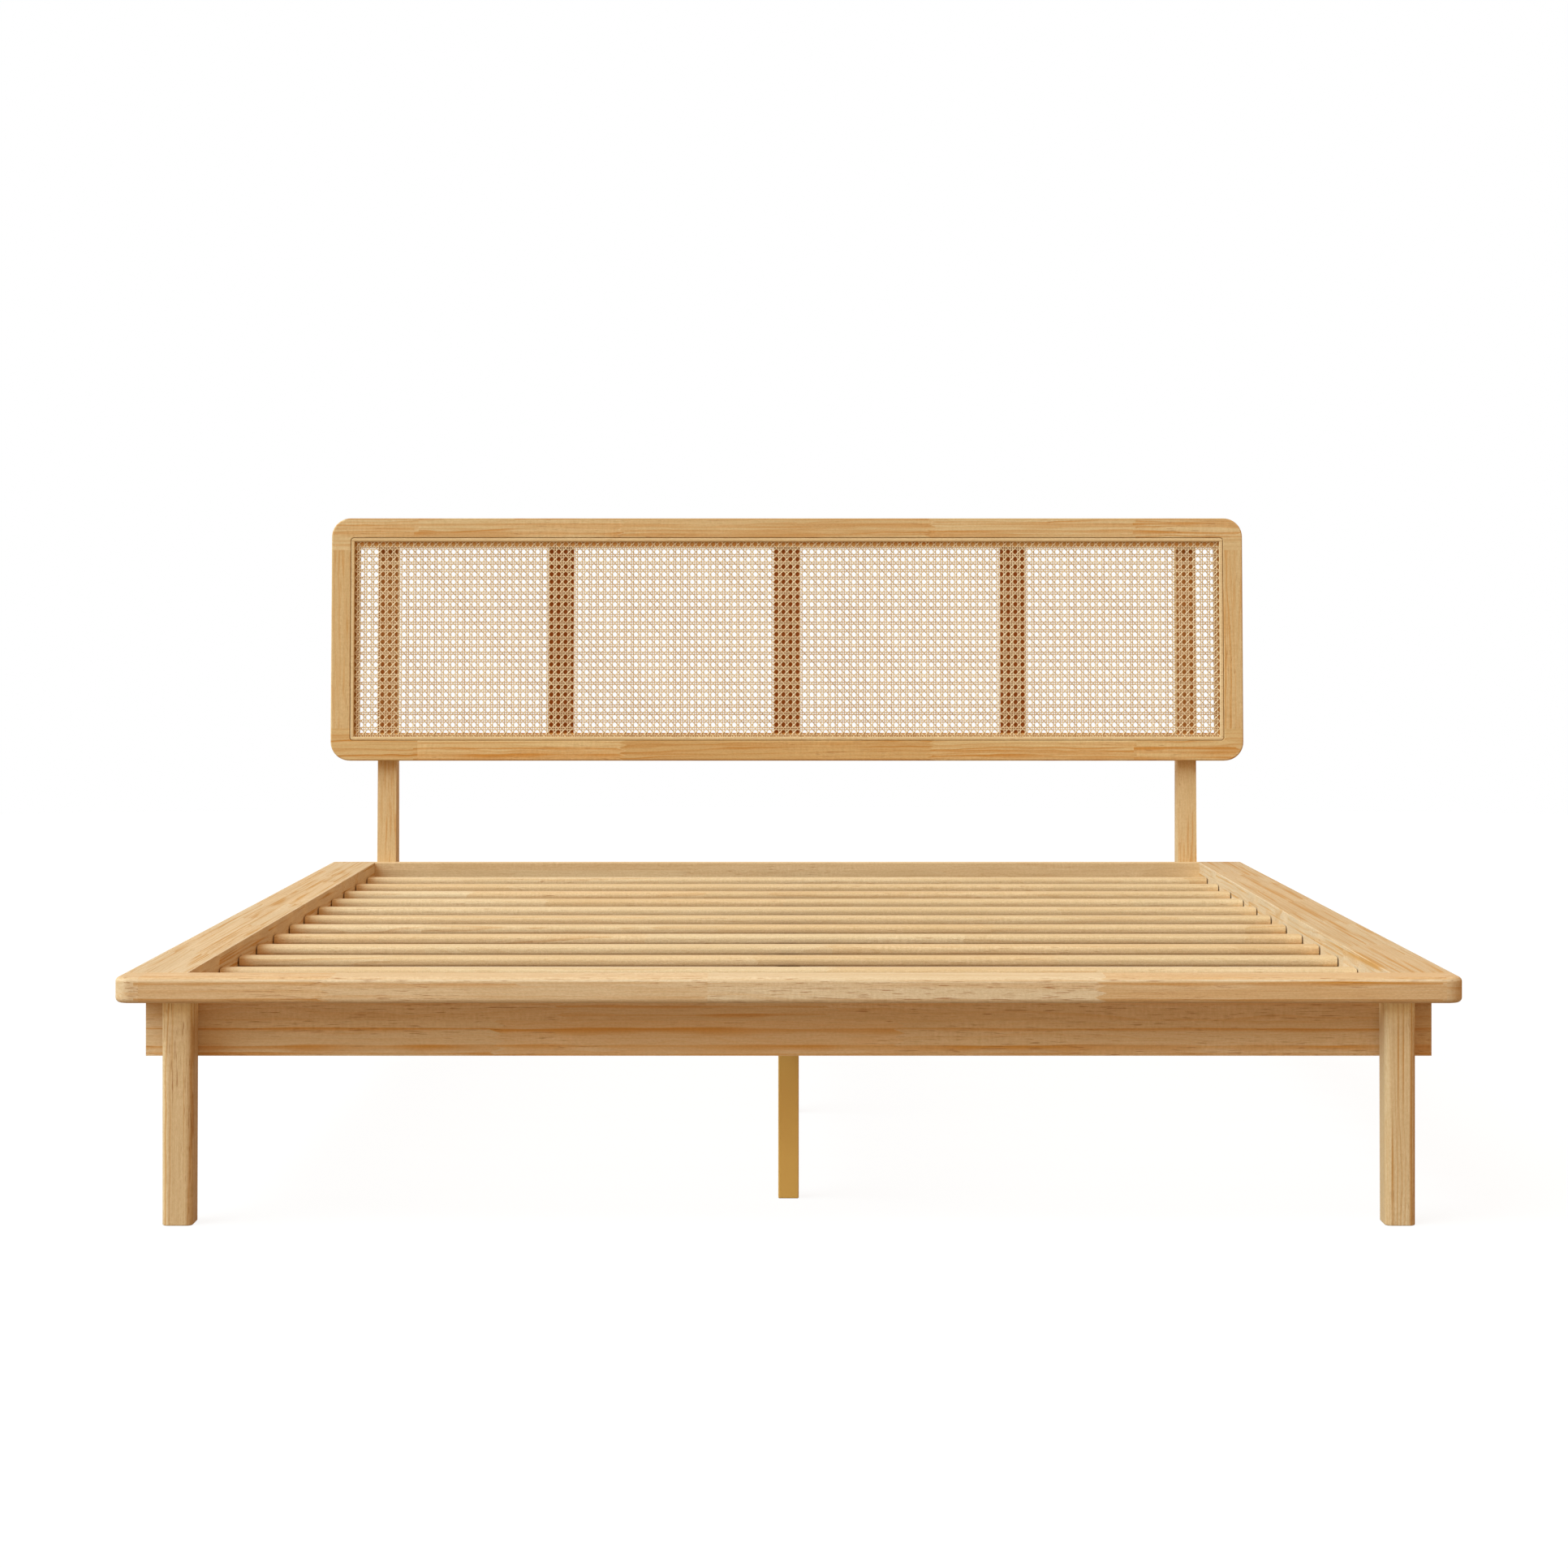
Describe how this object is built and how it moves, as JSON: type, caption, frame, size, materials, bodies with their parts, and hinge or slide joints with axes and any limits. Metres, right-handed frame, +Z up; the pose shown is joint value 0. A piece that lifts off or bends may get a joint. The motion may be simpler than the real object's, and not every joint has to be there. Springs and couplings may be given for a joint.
{
  "type": "platform bed",
  "caption": "Low slatted platform bed of pine boards on straight legs, with a leaning headboard framing an open woven cane panel.",
  "frame": {"origin": "on the floor, under the middle of the bed's outline", "axes": "+Z up, +Y from the foot end to the headboard, +X to the right seen from the foot end"},
  "size_m": [1.714, 2.202, 0.9664],
  "materials": {
    "frame_pine": "clear satin lacquer on finger-jointed pine",
    "headboard_pine": "clear satin lacquer on finger-jointed pine",
    "cane": "natural open six-way woven cane",
    "ochre_wood": "smooth ochre paint, satin",
    "brown_wood": "dark brown stain, matte",
    "dowel_beech": "plain fluted beech",
    "zinc_steel": "bright zinc plated"
  },
  "bodies": {
    "root": {"apron_screws": "zinc_steel", "beam_hanger_front": "zinc_steel", "beam_hanger_rear": "zinc_steel", "bolt_inserts": "zinc_steel", "bolt_washers": "zinc_steel", "bracket_screws": "zinc_steel", "cane_bead_bottom": "headboard_pine", "cane_bead_left": "headboard_pine", "cane_bead_right": "headboard_pine", "cane_bead_top": "headboard_pine", "cane_panel": "cane", "center_beam": "brown_wood", "center_leg_front": "ochre_wood", "center_leg_middle": "ochre_wood", "center_leg_rear": "ochre_wood", "center_leg_studs": "zinc_steel", "cleat_screws": "zinc_steel", "corner_bracket_left": "zinc_steel", "corner_bracket_right": "zinc_steel", "front_apron": "frame_pine", "front_leg_left": "frame_pine", "front_leg_right": "frame_pine", "front_rail": "frame_pine", "headboard_batten_center": "headboard_pine", "headboard_batten_left": "headboard_pine", "headboard_batten_right": "headboard_pine", "headboard_bottom_rail": "headboard_pine", "headboard_dowels": "dowel_beech", "headboard_post_left": "headboard_pine", "headboard_post_right": "headboard_pine", "headboard_screws": "zinc_steel", "headboard_stile_left": "headboard_pine", "headboard_stile_right": "headboard_pine", "headboard_top_rail": "headboard_pine", "leg_bolts": "zinc_steel", "post_bolts": "zinc_steel", "rail_dowels": "dowel_beech", "rear_leg_left": "frame_pine", "rear_leg_right": "frame_pine", "rear_rail": "frame_pine", "side_apron_left": "frame_pine", "side_apron_right": "frame_pine", "side_rail_left": "frame_pine", "side_rail_right": "frame_pine", "slat_01": "frame_pine", "slat_02": "frame_pine", "slat_03": "frame_pine", "slat_04": "frame_pine", "slat_05": "frame_pine", "slat_06": "frame_pine", "slat_07": "frame_pine", "slat_08": "frame_pine", "slat_09": "frame_pine", "slat_10": "frame_pine", "slat_11": "frame_pine", "slat_12": "frame_pine", "slat_cleat_left": "frame_pine", "slat_cleat_right": "frame_pine", "slat_screws": "zinc_steel"}
  },
  "joints": []
}
